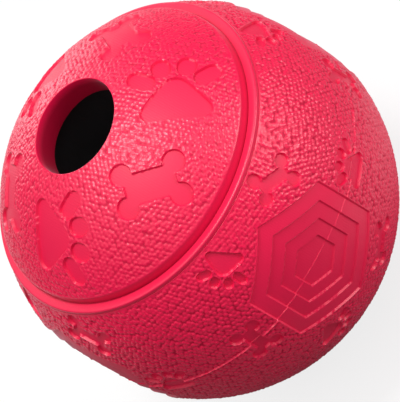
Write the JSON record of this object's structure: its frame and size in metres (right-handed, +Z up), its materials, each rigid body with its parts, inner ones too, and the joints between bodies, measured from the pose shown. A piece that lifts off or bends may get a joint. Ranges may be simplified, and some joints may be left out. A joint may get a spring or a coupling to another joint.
{
  "type": "treat dispensing ball",
  "caption": "Pebbled rubber treat ball with sunk paws, bones and stepped hexagons, a domed push-in cap with a round treat mouth, and a maze tray inside that slows the treats.",
  "frame": {"origin": "lowest point of the ball, under its centre, where it touches the floor with the treat mouth up", "axes": "+Z up along the axis of the treat mouth, -Y out of the middle of the hexagon that faces the picture's camera, +X out of the next hexagon to its right"},
  "size_m": [0.1058, 0.1058, 0.1081],
  "materials": {
    "red_rubber": "satin, pebbled",
    "black_rubber": "matt"
  },
  "bodies": {
    "body": {"ball_body": "red_rubber"},
    "cap": {"top_cap": "red_rubber"},
    "maze": {"maze_tray": "black_rubber"}
  },
  "joints": [
    {"name": "cap_lift", "type": "slide", "parent": "body", "child": "cap", "axis": [0, 0, 1], "range_m": [0, 0.06]},
    {"name": "maze_pull", "type": "slide", "parent": "cap", "child": "maze", "axis": [0, 0, -1], "range_m": [0, 0.02]}
  ]
}
